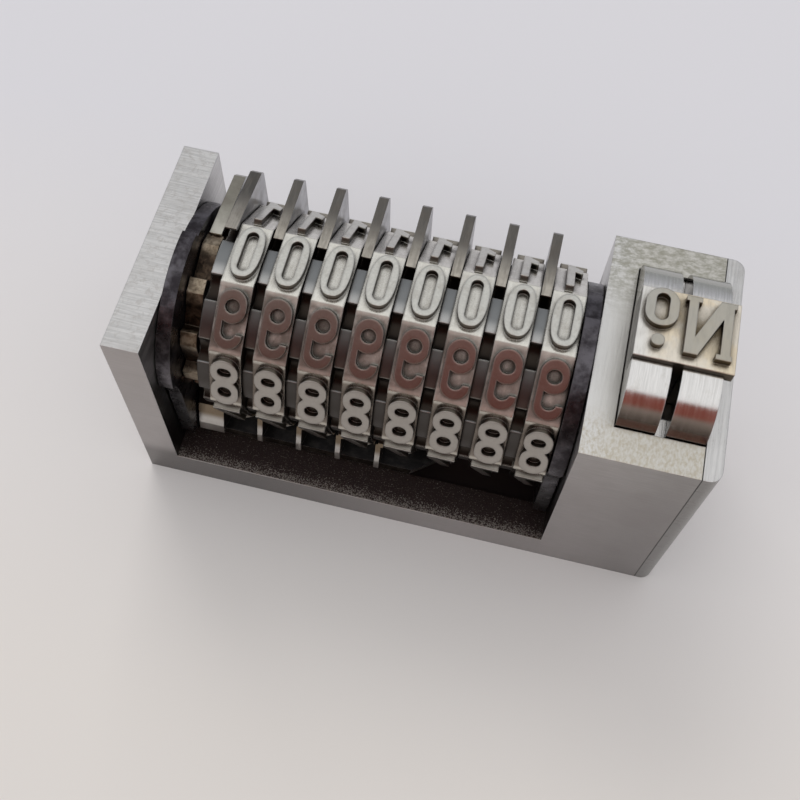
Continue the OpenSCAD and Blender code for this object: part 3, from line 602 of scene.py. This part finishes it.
# warmer, and lighter to make up for the lamp's fall-off: painted light at the front of the floor
FLOOR_FRONT_COLOUR = srgb(225, 219, 214)
FLOOR_BLEND = (-0.03, 0.03)      # from the front colour to the other, along y
CARD_X = (-0.09, 0.15)
CARD_Y = -0.085
CARD_TOP = 0.136
CARD_FADE = 0.022                # height of its see-through upper edge
CARD_STOPS = [                   # height and colour
    (0.0, (0.13, 0.105, 0.09, 1)),
    (0.044, (0.3, 0.245, 0.205, 1)),
    (0.06, (0.27, 0.06, 0.035, 1)),
]
BRIGHT_SIDE = (-0.1, -0.12, 1.0)
CEILING_BLEND = (0.45, 0.84)     # cosine of the angle from the bright side
ROOM_COLOUR = (0.5, 0.51, 0.54, 1)
CEILING_COLOUR = (1.0, 1.0, 1.0, 1)
LAMP_PLACE = (-0.75, 1.55, 1.5)
LAMP_TARGET = (0.0, 0.0, 0.012)
LAMP_SIZE = 1.2
LAMP_WATTS = 13.6
LAMP_COLOUR = (1.0, 0.99, 0.96)
LENS_MM = 48.106
SENSOR_MM = 36.0
CAMERA_PLACE = (0.00584, -0.04341, 0.09041)
CAMERA_RIGHT = (0.97261, 0.23088, 0.02710)
CAMERA_UP = (-0.21759, 0.86315, 0.45567)
CAMERA_BACK = (0.08181, -0.44908, 0.88974)


def flat_mesh(name, corners, material):
    mesh = bpy.data.meshes.new(name)
    mesh.from_pydata(corners, [], [tuple(range(len(corners)))])
    mesh.materials.append(material)
    obj = bpy.data.objects.new(name, mesh)
    bpy.context.scene.collection.objects.link(obj)
    return obj


def matte(name, colour, roughness=0.9):
    material = bpy.data.materials.new(name)
    material.use_nodes = True
    shader = material.node_tree.nodes["Principled BSDF"]
    shader.inputs["Base Color"].default_value = colour
    shader.inputs["Roughness"].default_value = roughness
    return material


def share_along(tree, axis, low, high):
    """Zero to one along an axis, between two places in metres."""
    place = tree.nodes.new("ShaderNodeSeparateXYZ")
    tree.links.new(tree.nodes.new("ShaderNodeTexCoord").outputs["Object"], place.inputs[0])
    share = tree.nodes.new("ShaderNodeMapRange")
    tree.links.new(place.outputs[axis], share.inputs[0])
    share.inputs[1].default_value, share.inputs[2].default_value = low, high
    return share.outputs[0]


def fade_along(material, axis, stops):
    """Lets the colour of a matte material change along an axis, through (place, colour) stops."""
    tree = material.node_tree
    low, high = stops[0][0], stops[-1][0]
    ramp = tree.nodes.new("ShaderNodeValToRGB")
    tree.links.new(share_along(tree, axis, low, high), ramp.inputs[0])
    while len(ramp.color_ramp.elements) < len(stops):
        ramp.color_ramp.elements.new(0.5)
    for element, (place, colour) in zip(ramp.color_ramp.elements, stops):
        element.position = (place - low) / (high - low)
        element.color = colour
    tree.links.new(ramp.outputs[0], tree.nodes["Principled BSDF"].inputs["Base Color"])


def add_floor():
    h = FLOOR_HALF
    front, behind = FLOOR_BLEND
    paper = matte("paper", FLOOR_COLOUR)
    fade_along(paper, 1, [(front, FLOOR_FRONT_COLOUR), (behind, FLOOR_COLOUR)])
    flat_mesh("floor", [(-h, -h, 0), (h, -h, 0), (h, h, 0), (-h, h, 0)], paper)


def add_card():
    """The warm card in front, seen only in the reflections of the polished faces."""
    left, right = CARD_X
    material = matte("warm_card", CARD_STOPS[-1][1])
    fade_along(material, 2, CARD_STOPS)
    tree = material.node_tree
    alpha = tree.nodes["Principled BSDF"].inputs["Alpha"]
    tree.links.new(share_along(tree, 2, CARD_TOP, CARD_TOP - CARD_FADE), alpha)
    corners = [(left, CARD_Y, 0.0), (right, CARD_Y, 0.0),
               (right, CARD_Y, CARD_TOP), (left, CARD_Y, CARD_TOP)]
    card = flat_mesh("warm_card", corners, material)
    card.visible_camera = False
    card.visible_shadow = False
    card.visible_diffuse = False


def add_world():
    """A pale room, brightest above and behind the object."""
    world = bpy.data.worlds.new("studio")
    bpy.context.scene.world = world
    world.use_nodes = True
    tree = world.node_tree
    toward = tree.nodes.new("ShaderNodeVectorMath")
    toward.operation = "DOT_PRODUCT"
    tree.links.new(tree.nodes.new("ShaderNodeTexCoord").outputs["Generated"], toward.inputs[0])
    toward.inputs[1].default_value = Vector(BRIGHT_SIDE).normalized()
    fade = tree.nodes.new("ShaderNodeMapRange")
    fade.interpolation_type = "SMOOTHSTEP"
    tree.links.new(toward.outputs["Value"], fade.inputs[0])
    fade.inputs[1].default_value, fade.inputs[2].default_value = CEILING_BLEND
    mix = tree.nodes.new("ShaderNodeMix")
    mix.data_type = "RGBA"
    tree.links.new(fade.outputs[0], mix.inputs[0])
    mix.inputs[6].default_value = ROOM_COLOUR
    mix.inputs[7].default_value = CEILING_COLOUR
    tree.links.new(mix.outputs[2], tree.nodes["Background"].inputs["Color"])


def add_lamp():
    """A large soft lamp behind at the left, kept out of the metals' reflections."""
    light = bpy.data.lights.new("window", "AREA")
    light.shape = "SQUARE"
    light.size = LAMP_SIZE
    light.energy = LAMP_WATTS
    light.color = LAMP_COLOUR
    obj = bpy.data.objects.new("window", light)
    bpy.context.scene.collection.objects.link(obj)
    obj.location = LAMP_PLACE
    aim = Vector(LAMP_TARGET) - Vector(LAMP_PLACE)
    obj.rotation_euler = aim.to_track_quat("-Z", "Y").to_euler()
    obj.visible_glossy = False


def add_camera():
    camera = bpy.data.cameras.new("camera")
    camera.sensor_width = SENSOR_MM
    camera.lens = LENS_MM
    camera.clip_start = 0.005
    camera.clip_end = 10.0
    obj = bpy.data.objects.new("camera", camera)
    bpy.context.scene.collection.objects.link(obj)
    rows = list(zip(CAMERA_RIGHT, CAMERA_UP, CAMERA_BACK, CAMERA_PLACE))
    obj.matrix_world = Matrix(rows + [(0, 0, 0, 1)])
    bpy.context.scene.camera = obj


paint_nodes()
add_floor()
add_card()
add_world()
add_lamp()
add_camera()
bpy.context.scene.view_settings.view_transform = "Standard"
